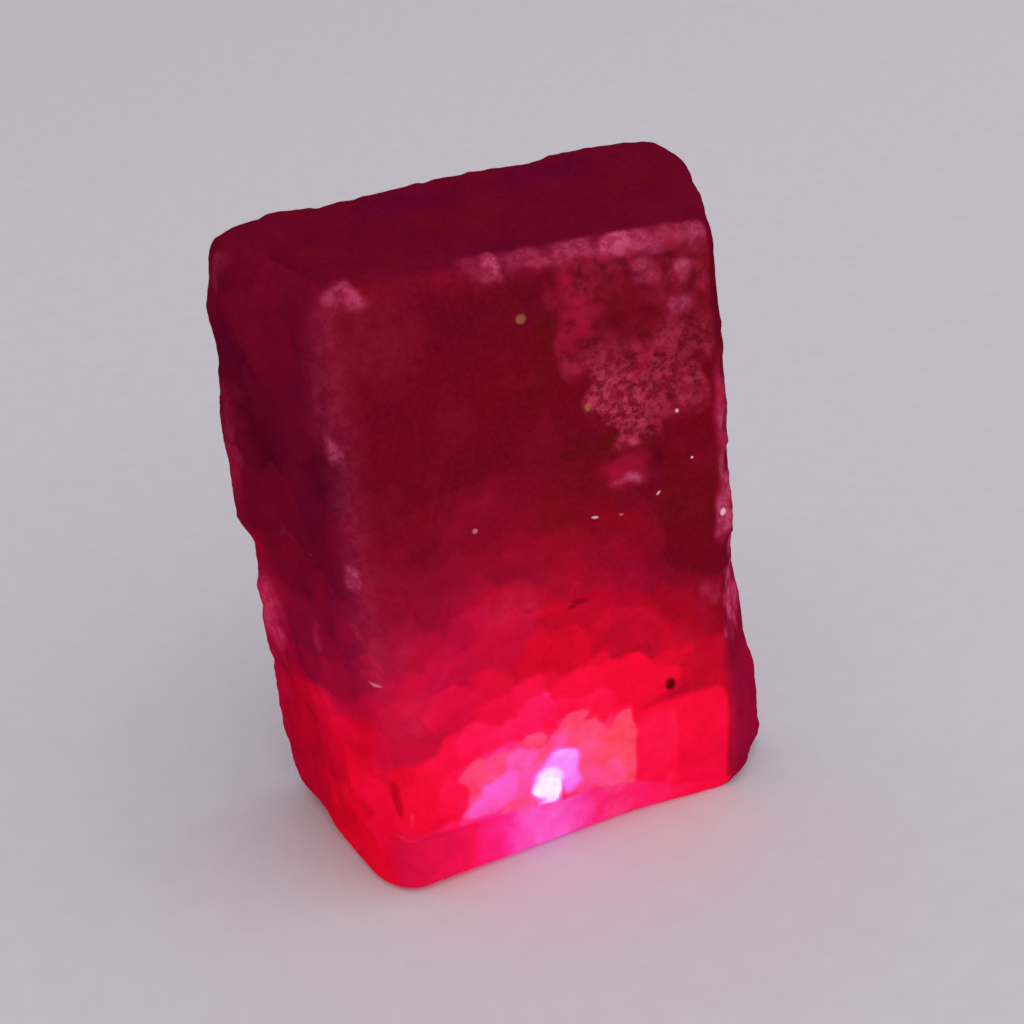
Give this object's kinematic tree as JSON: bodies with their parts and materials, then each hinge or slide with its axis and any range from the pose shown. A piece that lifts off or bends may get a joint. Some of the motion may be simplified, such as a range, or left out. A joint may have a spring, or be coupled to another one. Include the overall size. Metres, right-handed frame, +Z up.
{
  "type": "raw ruby crystal",
  "caption": "Rough, worn block of translucent ruby that stands on its flat end, with a smooth broad front, chipped corner and broken sides.",
  "frame": {"origin": "middle of the footprint, at the height of the flat base", "axes": "+Z up along the block's height, the broad smooth front looks along -Y, +X to the right seen from the front"},
  "size_m": [0.0326, 0.0168, 0.0421],
  "materials": {
    "ruby_stone": "waxy, worn, translucent deep red"
  },
  "bodies": {
    "root": {"ruby_crystal": "ruby_stone"}
  },
  "joints": []
}
